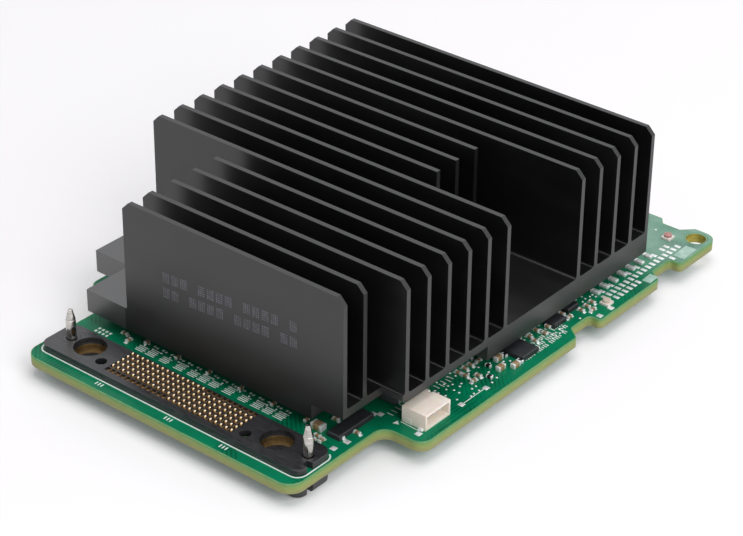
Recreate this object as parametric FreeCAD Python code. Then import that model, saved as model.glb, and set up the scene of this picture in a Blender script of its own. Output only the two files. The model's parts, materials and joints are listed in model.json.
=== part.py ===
import FreeCAD, Part
import math
import os

# Mezzanine RAID controller card with a machined fin heat sink.
# Frame: X across the card, Y from the connector nose to the rear tab, Z up.
# Origin: middle of the card's footprint, on the plane that the card lies on.
# All sizes are millimetres.

os.makedirs("parts", exist_ok=True)
V = FreeCAD.Vector

# ---- circuit board ----------------------------------------------------------
board_width = 65.6
board_length = 94.4
board_thickness = 1.6
board_lift = 2.2              # rest plane to the underside of the board
board_corner_radius = 2.0
nose_length = 19.4            # narrow front part that carries the connector
nose_margin_left = 1.0        # nose edge beside the connector
nose_margin_right = 0.8
nose_corner_radius = 2.6
shoulder_radius = 2.0         # both bends where the nose meets the wide part
side_notch_depth = 2.1
front_notch_start = 55.8      # first breakaway notch, from the nose edge
front_notch_length = 6.2
rear_notch_length = 6.2
rear_notch_gap = 10.75        # from the second notch to the tab's rear edge
notch_slope = 1.6             # length of each notch's sloped lead-in
notch_inner_radius = 0.7
notch_outer_radius = 0.8
rear_edge_inset = 0.5         # main rear edge, short of the tab
rear_relief_depth = 1.8
rear_relief_width = 4.6
tab_width = 5.2
tab_corner_radius = 2.2
tab_hole_bore = 3.2
tab_hole_inset = 2.55         # hole middle, from the tab's side and rear edges
plating_wall = 0.2

# ---- heat sink --------------------------------------------------------------
sink_inset_left = 0.8         # main plate, from the board's sides
sink_inset_right = 4.35
sink_inset_front = 11.9       # front of the plate, from the nose edge
fin_pitch = 4.52
fin_thickness = 0.8
fin_count = 16
first_fin_pitch = 4.2         # the front fin stands flush with the plate's edge
fin_height = 18.0
fin_corner_chamfer = 1.2
fin_root_radius = 0.5
plate_thickness = 3.7
thin_plate_thickness = 1.3    # over the tall parts at the right side
chip_gap = 2.2                # board to the thick plate
front_step_length = 8.9       # narrow front part of the plate
front_step_inset_left = 1.45  # narrow front part, from the nose's sides
front_step_inset_right = 1.0
front_fin_cutback = 15.4      # five front fins end short of the plate's left side
pocket_fin_cutback = 16.35    # three middle fins end short of its right side
front_short_fins = 2          # fins that end at the narrow front part
left_short_fins = 5
pocket_first_fin = 9
pocket_fins = 3
thin_width = 9.55
thin_length = 27.6

# ---- heat sink fixings ------------------------------------------------------
screw_diameter = 2.5
screw_clearance = 0.15        # radial, in the board and the spacers
screw_depth = 3.0             # thread in the plate
thread_clearance = 0.02
thread_end_gap = 0.3          # end of the screw to the floor of its hole
screw_edge = 5.5              # screw middle, from the plate's edges
screw_front_inset = 5.0
screw_thin_inset = 5.4
spacer_corners = 5.6          # across the corners of the hexagonal spacers
flange_diameter = 5.4         # washer face under the screw's head
flange_thickness = 0.4
head_diameter = 4.6
recess_diameter = 2.2
recess_depth = 0.9

# ---- mezzanine connector ----------------------------------------------------
contact_pitch = 1.0
contact_columns = 25
contact_rows = 6
field_x = -0.86               # middle of the contact field, from the middle of the card
field_shift_y = 0.45          # and from the middle line of the connector
connector_end_left = 12.04    # housing beyond the contact field
connector_end_right = 13.21
connector_depth = 7.1
connector_height = 1.1
connector_inset = 2.35        # front of the housing, from the nose edge
connector_corner = 1.6
key_notch_width = 1.2
key_notch_depth = 1.0
key_notch_shift = -1.6        # from the line of the guide pins
contact_width = 0.42
contact_stock = 0.12
contact_foot = 0.2            # foot of each leaf, along its row's depth
contact_reach = 0.12          # contact tip above the housing
cell_width = 0.62             # width of a contact's cell, at each row's two ends
cell_length = 0.8             # width of a row
cell_depth = 0.5
screw_hole_bore = 5.0
screw_hole_end_left = 6.5     # hole middle, from the housing's ends
screw_hole_end_right = 7.35
screw_hole_shift_y = 0.45
guide_pin_diameter = 1.5
guide_pin_shank = 1.1         # pressed part
guide_pin_neck = 0.1          # end of the pressed part, above the floor of the ring recess
guide_pin_end_left = 2.7
guide_pin_end_right = 1.65
guide_pin_shift_y = 0.4
guide_pin_height = 4.9        # above the housing
guide_pin_point = 1.7
guide_pin_facets = 6
guide_pin_tip_share = 0.45    # blunt end, as a share of the pin's radius
pin_clearance = 0.05          # radial, in the board
pin_recess_diameter = 2.7     # ring recess round each pin, in the housing's face
pin_recess_depth = 0.25
pin_head_diameter = 1.9
pin_head_thickness = 0.6
pin_head_inset = 0.1          # head face above the rest plane
pin_head_clearance = 0.05
peg_hole_bore = 1.75
peg_hole_gap = 1.55           # hole middle, from the ends of the contact field
peg_hole_shift_y = -1.75      # from the middle line of the contact field
backing_bevel = 0.3

# ---- controller, memory and power -------------------------------------------
package_size = 27.0
substrate_thickness = 1.1
lid_inset = 1.5
lid_thickness = 0.9
pad_inset = 1.5
controller_gap = 7.0          # package rear edge, in front of the rear screws
memory_width = 9.0
memory_length = 11.0
memory_thickness = 1.1
memory_pitch = 11.0
memory_clearance = 0.8        # end chips to the spacers beside them
memory_gap = 7.0              # between the memory row and the controller
memory_pad_inset = 0.5
underside_memory_count = 2
decoupling_columns = 4        # capacitors under the controller
decoupling_rows = 3
decoupling_pitch_x = 4.4
decoupling_pitch_y = 5.0
inductor_size = 4.2
inductor_height = 2.6
inductor_pitch = 5.2
inductor_count = 3
inductor_gap = 0.6            # to the step in the plate, both ways
terminal_stock = 0.15
terminal_wrap = 0.9
terminal_share = 0.6          # terminal width, as a share of the body
chip_bevel = 0.15
chip_height = 0.9
chip_sizes = [3.9, 3.0, 2.7]  # leadless packages along the right edge
chip_insets = [4.0, 5.3, 6.1]
chip_places = [47.2, 57.0, 61.6]
power_stage_width = 2.2
power_stage_length = 7.6
power_stage_inset = 3.4       # from the nose's right side
power_stage_gap = 3.0         # middle, in front of the shoulder

# ---- small parts: inset from the right edge, distance from the nose edge -----
case_0402 = (1.0, 0.5, 0.5)
case_0603 = (1.6, 0.8, 0.8)
case_0805 = (2.0, 1.25, 1.0)
resistor_case = (1.6, 0.8, 0.45)
end_cap_share = 0.22
filter_capacitors = [(2.2, 43.6), (3.4, 41.6), (5.2, 43.4)]
chip_capacitors = [(4.1, 53.4), (5.6, 53.3), (6.9, 53.4), (4.9, 55.2)]
jumper_resistors = [(3.3, 38.8), (5.2, 41.0), (2.4, 45.0), (5.1, 44.75)]
resistor_row_inset = 5.2
resistor_row_start = 68.0     # first part, from the nose edge
resistor_row_end = 12.3       # last part, from the tab's rear edge
resistor_row_pitch = 2.35     # nearest pitch that fills the row
nose_row_start = 12.0         # capacitor row behind the connector
nose_row_pitch = 6.2
nose_row_count = 6
nose_row_gap = 5.9
bulk_inset = 6.6              # from the nose's right side
bulk_gap = 6.2
led_size = 1.6
led_base = 0.45
led_lens = 0.4
led_lens_diameter = 1.3
side_led_inset = 2.1
side_led_place = 66.5
rear_led_inset = 6.0
rear_led_gap = 5.4            # from the tab's rear edge

# ---- cable header -----------------------------------------------------------
header_depth = 4.3
header_width = 5.6
header_height = 2.6
header_side_wall = 0.5
header_floor = 0.8
header_roof = 0.35
header_inset_right = 1.85     # mouth, from the board's right side
header_inset_front = 2.8      # from the shoulder
header_pocket_depth = 3.0
header_way_pitch = 1.25
header_ways = 3
header_pin_size = 0.35
header_pin_setback = 0.6
header_tail = 0.9
header_tab_stock = 0.25

# ---- derived planes and lines -----------------------------------------------
board_bottom = board_lift
board_top = board_bottom + board_thickness
half_width = board_width / 2
nose_edge = -board_length / 2
tab_edge = board_length / 2
shoulder_y = nose_edge + nose_length
field_length = contact_columns * contact_pitch
field_left = field_x - field_length / 2
field_right = field_x + field_length / 2
connector_left = field_left - connector_end_left
connector_right = field_right + connector_end_right
connector_front = nose_edge + connector_inset
connector_middle_y = connector_front + connector_depth / 2
connector_top = board_top + connector_height
field_y = connector_middle_y + field_shift_y
nose_left = connector_left - nose_margin_left
nose_right = connector_right + nose_margin_right
sink_left = -half_width + sink_inset_left
sink_right = half_width - sink_inset_right
sink_front = nose_edge + sink_inset_front
sink_step_y = sink_front + front_step_length
front_step_left = nose_left + front_step_inset_left
front_step_right = nose_right - front_step_inset_right
thin_left = sink_right - thin_width
thin_rear = sink_front + thin_length
plate_bottom = board_top + chip_gap
plate_top = plate_bottom + plate_thickness
fin_top = plate_top + fin_height
tab_hole_x = half_width - tab_hole_inset
tab_hole_y = tab_edge - tab_hole_inset


def save(shape, node):
    """Write one piece, or a group of like pieces, as a STEP file named after it."""
    shape.exportStep("parts/%s.step" % node)


def join(shapes):
    """Fuse shapes into one clean solid."""
    return shapes[0].multiFuse(shapes[1:]).removeSplitter()


def group(solids):
    """Keep separate pieces of one kind together in one node."""
    return Part.makeCompound(solids)


def rod(x, y, z, diameter, height):
    return Part.makeCylinder(diameter / 2, height, V(x, y, z))


def ring(x, y, z, outer, inner, height):
    """Plain bush or spacer."""
    return rod(x, y, z, outer, height).cut(rod(x, y, z - 1, inner, height + 2))


def block(x, y, z, length_x, length_y, height):
    """Block centred on x, y and standing on z."""
    return Part.makeBox(length_x, length_y, height, V(x - length_x / 2, y - length_y / 2, z))


def outline(points, z, height):
    """Prism over a closed outline."""
    corners = [V(p[0], p[1], z) for p in points]
    face = Part.Face(Part.makePolygon(corners + corners[:1]))
    return face.extrude(V(0, 0, height))


def upright_edges(solid, z0, z1, test):
    """Vertical edges of full height whose place passes the test."""
    found = []
    for edge in solid.Edges:
        a = edge.Vertexes[0].Point
        b = edge.Vertexes[-1].Point
        straight = abs(a.x - b.x) < 1e-6 and abs(a.y - b.y) < 1e-6
        if straight and abs(abs(a.z - b.z) - (z1 - z0)) < 1e-6 and test(a.x, a.y):
            found.append(edge)
    return found


def chip(x, y, z, length_x, length_y, height):
    """Moulded package with a bevel round its top face."""
    body = block(x, y, z, length_x, length_y, height)
    top = [e for e in body.Edges if min(v.Point.z for v in e.Vertexes) > z + height - 1e-6]
    return body.makeChamfer(chip_bevel, top)


# ---- circuit board ----------------------------------------------------------
def side_notch(y0, length):
    """Breakaway notch in the right side, with a sloped lead-in at its front."""
    y1 = y0 + length
    x0 = half_width - side_notch_depth
    x1 = half_width + 1.0
    slope = notch_slope * (x1 - x0) / side_notch_depth
    return outline([(x0, y0 + notch_slope), (x0, y1), (x1, y1), (x1, y0 + notch_slope - slope)],
                   board_bottom - 1, board_thickness + 2)


def board_shape():
    main_rear = tab_edge - rear_edge_inset
    relief_rear = main_rear - rear_relief_depth + rear_edge_inset
    tab_left = half_width - tab_width
    relief_left = tab_left - rear_relief_width
    points = [
        (nose_left, nose_edge),
        (nose_right, nose_edge),
        (nose_right, shoulder_y),
        (half_width, shoulder_y),
        (half_width, tab_edge),
        (tab_left + rear_relief_depth / 2, tab_edge),
        (tab_left - rear_relief_depth / 2, relief_rear),
        (relief_left + rear_edge_inset, relief_rear),
        (relief_left - rear_edge_inset, main_rear),
        (-half_width, main_rear),
        (-half_width, shoulder_y),
        (nose_left, shoulder_y),
    ]
    body = outline(points, board_bottom, board_thickness)
    nose_corners = upright_edges(body, board_bottom, board_top, lambda x, y: y < nose_edge + 1e-3)
    body = body.makeFillet(nose_corner_radius, nose_corners)
    bends = upright_edges(body, board_bottom, board_top, lambda x, y: abs(y - shoulder_y) < 1e-3)
    narrowest = min(nose_left + half_width, half_width - nose_right)
    body = body.makeFillet(min(shoulder_radius, narrowest * 0.45), bends)
    tab = upright_edges(body, board_bottom, board_top,
                        lambda x, y: x > half_width - 1e-3 and y > tab_edge - 1e-3)
    body = body.makeFillet(tab_corner_radius, tab)
    rear_corner = upright_edges(body, board_bottom, board_top,
                                lambda x, y: x < -half_width + 1e-3 and y > main_rear - 1e-3)
    body = body.makeFillet(board_corner_radius, rear_corner)
    side_notches = [(nose_edge + front_notch_start, front_notch_length),
                    (tab_edge - rear_notch_gap - rear_notch_length, rear_notch_length)]
    for y0, length in side_notches:
        body = body.cut(side_notch(y0, length))
    notch_ends = []
    for y0, length in side_notches:
        notch_ends += [y0, y0 + length]
    outer = upright_edges(body, board_bottom, board_top, lambda x, y: x > half_width - 1e-3
                          and min(abs(y - end) for end in notch_ends) < 1e-3)
    body = body.makeFillet(notch_outer_radius, outer)
    inner = upright_edges(body, board_bottom, board_top,
                          lambda x, y: abs(x - (half_width - side_notch_depth)) < 1e-3)
    return body.makeFillet(notch_inner_radius, inner)


def screw_places():
    """Middles of the four heat sink screws."""
    left = sink_left + screw_edge
    front = sink_step_y + screw_front_inset
    rear = plate_rear() - screw_edge
    front_right = thin_left - screw_thin_inset
    rear_right = sink_right - screw_edge
    return [(left, front), (front_right, front), (left, rear), (rear_right, rear)]


def fin_places():
    """Middle lines of the fins; the front one is flush with the plate's edge."""
    first = sink_front + fin_thickness / 2
    return [first] + [first + first_fin_pitch + fin_pitch * k for k in range(fin_count - 1)]


def plate_rear():
    return fin_places()[-1] + fin_thickness / 2


screw_hole_y = connector_middle_y + screw_hole_shift_y
guide_pin_y = connector_middle_y + guide_pin_shift_y
screw_holes = [(connector_left + screw_hole_end_left, screw_hole_y),
               (connector_right - screw_hole_end_right, screw_hole_y)]
guide_pins = [(connector_left + guide_pin_end_left, guide_pin_y),
              (connector_right - guide_pin_end_right, guide_pin_y)]
peg_holes = [(field_left - peg_hole_gap, field_y + peg_hole_shift_y),
             (field_right + peg_hole_gap, field_y + peg_hole_shift_y)]
sleeve_outer = screw_hole_bore + 2 * plating_wall
tab_sleeve_outer = tab_hole_bore + 2 * plating_wall


def build_board():
    board = board_shape()
    holes = [rod(x, y, board_bottom - 1, sleeve_outer, board_thickness + 2) for x, y in screw_holes]
    pin_bore = guide_pin_shank + 2 * pin_clearance
    holes += [rod(x, y, board_bottom - 1, pin_bore, board_thickness + 2) for x, y in guide_pins]
    holes += [rod(x, y, board_bottom - 1, peg_hole_bore, board_thickness + 2) for x, y in peg_holes]
    holes.append(rod(tab_hole_x, tab_hole_y, board_bottom - 1, tab_sleeve_outer, board_thickness + 2))
    screw_bore = screw_diameter + 2 * screw_clearance
    holes += [rod(x, y, board_bottom - 1, screw_bore, board_thickness + 2) for x, y in screw_places()]
    save(board.cut(Part.makeCompound(holes)), "circuit_board")
    sleeves = []
    for x, y in screw_holes:
        sleeves.append(ring(x, y, board_bottom, sleeve_outer, screw_hole_bore, board_thickness))
    save(group(sleeves), "screw_hole_plating")
    tab_sleeve = ring(tab_hole_x, tab_hole_y, board_bottom, tab_sleeve_outer, tab_hole_bore, board_thickness)
    save(tab_sleeve, "tab_hole_plating")


# ---- heat sink --------------------------------------------------------------
def fin_section(y, flush_front):
    """Section of one fin in the YZ plane, with a rounded root on each free side."""
    front = y - fin_thickness / 2
    rear = y + fin_thickness / 2
    r = fin_root_radius
    low = plate_top - plate_thickness / 4
    bend = r * (1 - math.sqrt(0.5))
    edges = []
    if flush_front:
        edges.append(Part.makeLine(V(0, front, low), V(0, front, fin_top)))
        start = V(0, front, low)
    else:
        start = V(0, front - r, low)
        edges.append(Part.makeLine(start, V(0, front - r, plate_top)))
        root = Part.Arc(V(0, front - r, plate_top), V(0, front - bend, plate_top + bend),
                        V(0, front, plate_top + r))
        edges.append(root.toShape())
        edges.append(Part.makeLine(V(0, front, plate_top + r), V(0, front, fin_top)))
    edges.append(Part.makeLine(V(0, front, fin_top), V(0, rear, fin_top)))
    end_r = min(r, plate_rear() - rear)
    if end_r > 1e-6:
        end_bend = end_r * (1 - math.sqrt(0.5))
        edges.append(Part.makeLine(V(0, rear, fin_top), V(0, rear, plate_top + end_r)))
        root = Part.Arc(V(0, rear, plate_top + end_r), V(0, rear + end_bend, plate_top + end_bend),
                        V(0, rear + end_r, plate_top))
        edges.append(root.toShape())
        edges.append(Part.makeLine(V(0, rear + end_r, plate_top), V(0, rear + end_r, low)))
        edges.append(Part.makeLine(V(0, rear + end_r, low), start))
    else:
        edges.append(Part.makeLine(V(0, rear, fin_top), V(0, rear, low)))
        edges.append(Part.makeLine(V(0, rear, low), start))
    return Part.Face(Part.Wire(edges))


def fin(number, y):
    """One fin: its section pulled along X, its top corners milled to a bevel."""
    left = sink_left + (front_fin_cutback if number <= left_short_fins else 0)
    right = front_step_right if number <= front_short_fins else sink_right
    pocketed = pocket_first_fin <= number < pocket_first_fin + pocket_fins
    if pocketed:
        right = sink_right - pocket_fin_cutback
    section = fin_section(y, number == 1)
    section.translate(V(left, 0, 0))
    body = section.extrude(V(right - left, 0, 0))
    body = body.cut(corner_trim(left, 1, y))
    if not pocketed:
        body = body.cut(corner_trim(right, -1, y))
    return body


def corner_trim(end_x, inward, y):
    """Wedge that bevels the top corner of a fin's end."""
    reach = fin_corner_chamfer + 1
    points = [
        (end_x - inward, fin_top - reach),
        (end_x - inward, fin_top + 1),
        (end_x + inward * reach, fin_top + 1),
    ]
    corners = [V(x, y - fin_pitch / 2, z) for x, z in points]
    face = Part.Face(Part.makePolygon(corners + corners[:1]))
    return face.extrude(V(0, fin_pitch, 0))


def build_sink():
    rear = plate_rear()
    plate = outline([
        (front_step_left, sink_front),
        (front_step_right, sink_front),
        (front_step_right, sink_step_y),
        (sink_right, sink_step_y),
        (sink_right, rear),
        (sink_left, rear),
        (sink_left, sink_step_y),
        (front_step_left, sink_step_y),
    ], plate_bottom, plate_thickness)
    step = plate_thickness - thin_plate_thickness
    relief = Part.makeBox(thin_width + 1, thin_length + 1, step + 1,
                          V(thin_left, sink_front - 1, plate_bottom - 1))
    plate = plate.cut(relief)
    fins = [fin(k + 1, y) for k, y in enumerate(fin_places())]
    sink = join([plate] + fins)
    tapped = [rod(x, y, plate_bottom - 1, screw_diameter + 2 * thread_clearance, screw_depth + 1)
              for x, y in screw_places()]
    save(sink.cut(Part.makeCompound(tapped)), "heat_sink")


def build_fixings():
    """Hexagonal spacers above the board, flanged screws below it."""
    bore = screw_diameter + 2 * screw_clearance
    spacers = []
    screws = []
    flange_z = board_bottom - flange_thickness
    shank_top = plate_bottom + screw_depth - thread_end_gap
    section = Part.makePolygon([
        V(0, 0, 0),
        V(head_diameter / 2, 0, 0),
        V(head_diameter / 2, 0, flange_z),
        V(flange_diameter / 2, 0, flange_z),
        V(flange_diameter / 2, 0, board_bottom),
        V(screw_diameter / 2, 0, board_bottom),
        V(screw_diameter / 2, 0, shank_top),
        V(0, 0, shank_top),
        V(0, 0, 0),
    ])
    screw = Part.Face(section).revolve(V(0, 0, 0), V(0, 0, 1), 360)
    screw = screw.cut(hexagon(0, 0, -1, recess_diameter, 1 + recess_depth))
    for x, y in screw_places():
        spacer = hexagon(x, y, board_top, spacer_corners, chip_gap)
        spacers.append(spacer.cut(rod(x, y, board_top - 1, bore, chip_gap + 2)))
        screws.append(screw.translated(V(x, y, 0)))
    save(group(spacers), "sink_spacers")
    save(group(screws), "sink_screws")


def hexagon(x, y, z, corners, height):
    """Hexagonal prism, sized across its corners."""
    points = []
    for k in range(6):
        a = math.radians(60 * k)
        points.append((x + corners / 2 * math.cos(a), y + corners / 2 * math.sin(a)))
    return outline(points, z, height)


# ---- mezzanine connector ----------------------------------------------------
def connector_plate(z, height, bevel):
    """Rounded plate with a key notch in its right end; housing and backing plate share it."""
    middle_x = (connector_left + connector_right) / 2
    plate = block(middle_x, connector_middle_y, z, connector_right - connector_left, connector_depth, height)
    corners = upright_edges(plate, z, z + height, lambda x, y: True)
    plate = plate.makeFillet(connector_corner, corners)
    if bevel > 0:
        rim = [e for e in plate.Edges if max(v.Point.z for v in e.Vertexes) < z + 1e-6]
        plate = plate.makeChamfer(bevel, rim)
    notch = block(connector_right, guide_pin_y + key_notch_shift, z - 1, 2 * key_notch_depth, key_notch_width,
                  height + 2)
    return plate.cut(notch)


def contact_used(column, row):
    """The front row is filled in its right half only, the rear row in its left part only."""
    if row == 0:
        return column >= contact_columns // 2
    if row == contact_rows - 1:
        return column < contact_columns * 3 // 5
    return True


def row_y(row):
    """Middle line of one row of the contact field."""
    return field_y + (row - (contact_rows - 1) / 2) * contact_pitch


def contact_places():
    """Middle of every contact that the field holds."""
    places = []
    for row in range(contact_rows):
        for column in range(contact_columns):
            if contact_used(column, row):
                places.append((field_left + (column + 0.5) * contact_pitch, row_y(row)))
    return places


def spring_contact(x, y):
    """Leaf that rises from the floor of its row to the contact tip."""
    floor_z = connector_top - cell_depth
    tip_z = connector_top + contact_reach
    front_y = y - cell_length / 2 + contact_stock
    tip_y = y + cell_length / 2 - contact_stock
    side = [
        (front_y, floor_z),
        (front_y + contact_foot, floor_z),
        (tip_y, tip_z - contact_stock),
        (tip_y - contact_stock, tip_z),
    ]
    corners = [V(x - contact_width / 2, a, b) for a, b in side]
    face = Part.Face(Part.makePolygon(corners + corners[:1]))
    return face.extrude(V(contact_width, 0, 0))


def build_housing():
    """Upper housing: contact rows, screw holes, pin bores with a ring recess, peg holes."""
    plate = connector_plate(board_top, connector_height, 0)
    through = connector_height + 2
    cuts = [rod(x, y, board_top - 1, screw_hole_bore, through) for x, y in screw_holes]
    cuts += [rod(x, y, board_top - 1, peg_hole_bore, through) for x, y in peg_holes]
    cuts += [rod(x, y, board_top - 1, guide_pin_shank, through) for x, y in guide_pins]
    recess_z = connector_top - pin_recess_depth
    cuts += [rod(x, y, recess_z, pin_recess_diameter, pin_recess_depth + 1) for x, y in guide_pins]
    row_length = field_length - contact_pitch + cell_width
    for row in range(contact_rows):
        floor_z = connector_top - cell_depth
        cuts.append(block(field_x, row_y(row), floor_z, row_length, cell_length, cell_depth + 1))
    save(plate.cut(Part.makeCompound(cuts)), "connector_housing")
    save(group([spring_contact(x, y) for x, y in contact_places()]), "connector_contacts")


def build_backing():
    """Stiffening plate under the nose: it backs the contact field and holds the guide pins."""
    plate = connector_plate(0, board_bottom, backing_bevel)
    cuts = [rod(x, y, -1, screw_hole_bore, board_bottom + 2) for x, y in screw_holes]
    cuts += [rod(x, y, -1, guide_pin_shank, board_bottom + 2) for x, y in guide_pins]
    head_bore = pin_head_diameter + 2 * pin_head_clearance
    head_top = pin_head_inset + pin_head_thickness
    cuts += [rod(x, y, -1, head_bore, 1 + head_top) for x, y in guide_pins]
    save(plate.cut(Part.makeCompound(cuts)), "backing_plate")


def guide_pin(x, y):
    """Headed pin: shank pressed in from below, thinner free shaft, faceted point."""
    tip_z = connector_top + guide_pin_height
    neck_z = tip_z - guide_pin_point
    head_top = pin_head_inset + pin_head_thickness
    shank_top = connector_top - pin_recess_depth + guide_pin_neck
    head = rod(x, y, pin_head_inset, pin_head_diameter, pin_head_thickness)
    shank = rod(x, y, head_top, guide_pin_shank, shank_top - head_top)
    shaft = rod(x, y, shank_top, guide_pin_diameter, neck_z - shank_top)
    radius = guide_pin_diameter / 2
    tip_radius = radius * guide_pin_tip_share
    lower = []
    upper = []
    for k in range(guide_pin_facets + 1):
        a = 2 * math.pi * k / guide_pin_facets
        lower.append(V(x + radius * math.cos(a), y + radius * math.sin(a), neck_z))
        upper.append(V(x + tip_radius * math.cos(a), y + tip_radius * math.sin(a), tip_z))
    point = Part.makeLoft([Part.makePolygon(lower), Part.makePolygon(upper)], True, True)
    return join([shank, head, shaft, point])


def build_connector():
    build_housing()
    build_backing()
    save(group([guide_pin(x, y) for x, y in guide_pins]), "guide_pins")


# ---- controller, memory and power -------------------------------------------
def controller_place():
    """The package sits midway between the side screws, in front of the rear ones."""
    places = screw_places()
    x = (places[0][0] + places[1][0]) / 2
    y = places[2][1] - controller_gap - package_size / 2
    return x, y


def build_controller():
    """Flip chip package: substrate, metal lid and the pad between the lid and the heat sink."""
    x, y = controller_place()
    lid_bottom = board_top + substrate_thickness
    pad_bottom = lid_bottom + lid_thickness
    lid_size = package_size - 2 * lid_inset
    pad_size = lid_size - 2 * pad_inset
    save(block(x, y, board_top, package_size, package_size, substrate_thickness), "controller_substrate")
    lid = block(x, y, lid_bottom, lid_size, lid_size, lid_thickness)
    corners = upright_edges(lid, lid_bottom, pad_bottom, lambda a, b: True)
    save(lid.makeFillet(lid_inset, corners), "controller_lid")
    save(block(x, y, pad_bottom, pad_size, pad_size, plate_bottom - pad_bottom), "controller_thermal_pad")


def memory_count():
    """As many memory chips as fit between the two front spacers."""
    places = screw_places()
    space = places[1][0] - places[0][0] - spacer_corners - 2 * memory_clearance
    return int((space + memory_pitch - memory_width) / memory_pitch)


def memory_row(count):
    """Middles of a row of memory chips in front of the controller."""
    x, y = controller_place()
    row_y = y - package_size / 2 - memory_gap - memory_length / 2
    return [(x + (k - (count - 1) / 2) * memory_pitch, row_y) for k in range(count)]


def build_memory():
    top = board_top + memory_thickness
    pad_width = memory_width - 2 * memory_pad_inset
    pad_length = memory_length - 2 * memory_pad_inset
    row = memory_row(memory_count())
    chips = [chip(x, y, board_top, memory_width, memory_length, memory_thickness) for x, y in row]
    pads = [block(x, y, top, pad_width, pad_length, plate_bottom - top) for x, y in row]
    save(group(chips), "memory_chips")
    save(group(pads), "memory_thermal_pads")
    under = [underside_chip(x, y) for x, y in memory_row(underside_memory_count)]
    save(group(under), "underside_memory_chips")


def underside_chip(x, y):
    """Memory chip hung under the board, its bevelled face downward."""
    body = chip(x, y, 0, memory_width, memory_length, memory_thickness)
    body.rotate(V(x, y, 0), V(0, 1, 0), 180)
    body.translate(V(0, 0, board_bottom))
    return body


def inductor_places():
    """A row under the thin part of the plate, close to its step."""
    x = thin_left + inductor_gap + inductor_size / 2
    last = thin_rear - inductor_gap - inductor_size / 2
    return [(x, last - k * inductor_pitch) for k in range(inductor_count)]


def build_inductors():
    """Moulded power inductors with a copper terminal wrapped under each end."""
    bodies = []
    terminals = []
    t = terminal_stock
    width = inductor_size * terminal_share
    for x, y in inductor_places():
        bodies.append(chip(x, y, board_top + t, inductor_size, inductor_size, inductor_height))
        for side in (-1, 1):
            foot_x = x + side * (inductor_size + 2 * t - terminal_wrap) / 2
            leg_x = x + side * (inductor_size + t) / 2
            foot = block(foot_x, y, board_top, terminal_wrap, width, t)
            leg = block(leg_x, y, board_top, t, width, inductor_height / 2)
            terminals.append(join([foot, leg]))
    save(group(bodies), "power_inductors")
    save(group(terminals), "inductor_terminals")


def build_chips():
    """Leadless packages in the strip between the heat sink and the right edge."""
    regulators = []
    for size, inset, place in zip(chip_sizes, chip_insets, chip_places):
        regulators.append(chip(half_width - inset, nose_edge + place, board_top, size, size, chip_height))
    save(group(regulators), "regulator_chips")
    power_stage = chip(nose_right - power_stage_inset, shoulder_y - power_stage_gap, board_top,
                       power_stage_width, power_stage_length, chip_height)
    save(power_stage, "power_stage_chip")


# ---- small passives ---------------------------------------------------------
def passive(x, y, z, case, along_x):
    """Chip part: its ceramic body and its two plated end caps, ends along X or Y."""
    length, width, height = case
    cap = length * end_cap_share
    middle = length - 2 * cap
    shift = (length - cap) / 2
    if along_x:
        body = block(x, y, z, middle, width, height)
        return body, [block(x + side * shift, y, z, cap, width, height) for side in (-1, 1)]
    body = block(x, y, z, width, middle, height)
    return body, [block(x, y + side * shift, z, width, cap, height) for side in (-1, 1)]


def capacitor_list():
    """Place, height of the foot, case and direction of every ceramic capacitor."""
    right = [(half_width - inset, nose_edge + place) for inset, place in filter_capacitors]
    parts = [(x, y, board_top, case_0603, False) for x, y in right]
    right = [(half_width - inset, nose_edge + place) for inset, place in chip_capacitors]
    parts += [(x, y, board_top, case_0402, True) for x, y in right]
    row_y = shoulder_y - nose_row_gap
    for k in range(nose_row_count):
        parts.append((nose_left + nose_row_start + k * nose_row_pitch, row_y, board_top, case_0402, False))
    parts.append((nose_right - bulk_inset, shoulder_y - bulk_gap, board_top, case_0805, True))
    x0, y0 = controller_place()
    low = board_bottom - case_0402[2]
    for row in range(decoupling_rows):
        for column in range(decoupling_columns):
            x = x0 + (column - (decoupling_columns - 1) / 2) * decoupling_pitch_x
            y = y0 + (row - (decoupling_rows - 1) / 2) * decoupling_pitch_y
            parts.append((x, y, low, case_0402, row % 2 == 0))
    return parts


def resistor_list():
    right = [(half_width - inset, nose_edge + place) for inset, place in jumper_resistors]
    parts = [(x, y, board_top, case_0402, True) for x, y in right]
    first = nose_edge + resistor_row_start
    length = tab_edge - resistor_row_end - first
    steps = max(1, round(length / resistor_row_pitch))
    for k in range(steps + 1):
        y = first + k * length / steps
        parts.append((half_width - resistor_row_inset, y, board_top, resistor_case, True))
    return parts


def build_passives():
    capacitors = [passive(*entry) for entry in capacitor_list()]
    resistors = [passive(*entry) for entry in resistor_list()]
    save(group([body for body, ends in capacitors]), "ceramic_capacitors")
    save(group([body for body, ends in resistors]), "chip_resistors")
    save(group([end for body, ends in capacitors + resistors for end in ends]), "component_end_caps")


def build_leds():
    """Two indicator lamps: a clear disc on a small white base."""
    bases = []
    lenses = []
    lens_z = board_top + led_base
    places = [(half_width - side_led_inset, nose_edge + side_led_place),
              (half_width - rear_led_inset, tab_edge - rear_led_gap)]
    for x, y in places:
        bases.append(block(x, y, board_top, led_size, led_size, led_base))
        lenses.append(rod(x, y, lens_z, led_lens_diameter, led_lens))
    save(group(bases), "indicator_bases")
    save(group(lenses), "indicator_lenses")


# ---- cable header -----------------------------------------------------------
def header_pin(y, tail_x, front_x, blade_z):
    """Square pin: a blade in the pocket, a step down behind the housing, a tail on the board."""
    p = header_pin_size
    back_x = header_back - p
    path = [
        (front_x, blade_z),
        (front_x, blade_z + p),
        (back_x, blade_z + p),
        (back_x, board_top + p),
        (tail_x, board_top + p),
        (tail_x, board_top),
        (header_back, board_top),
        (header_back, blade_z),
    ]
    corners = [V(x, y - p / 2, z) for x, z in path]
    return Part.Face(Part.makePolygon(corners + corners[:1])).extrude(V(0, p, 0))


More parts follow.
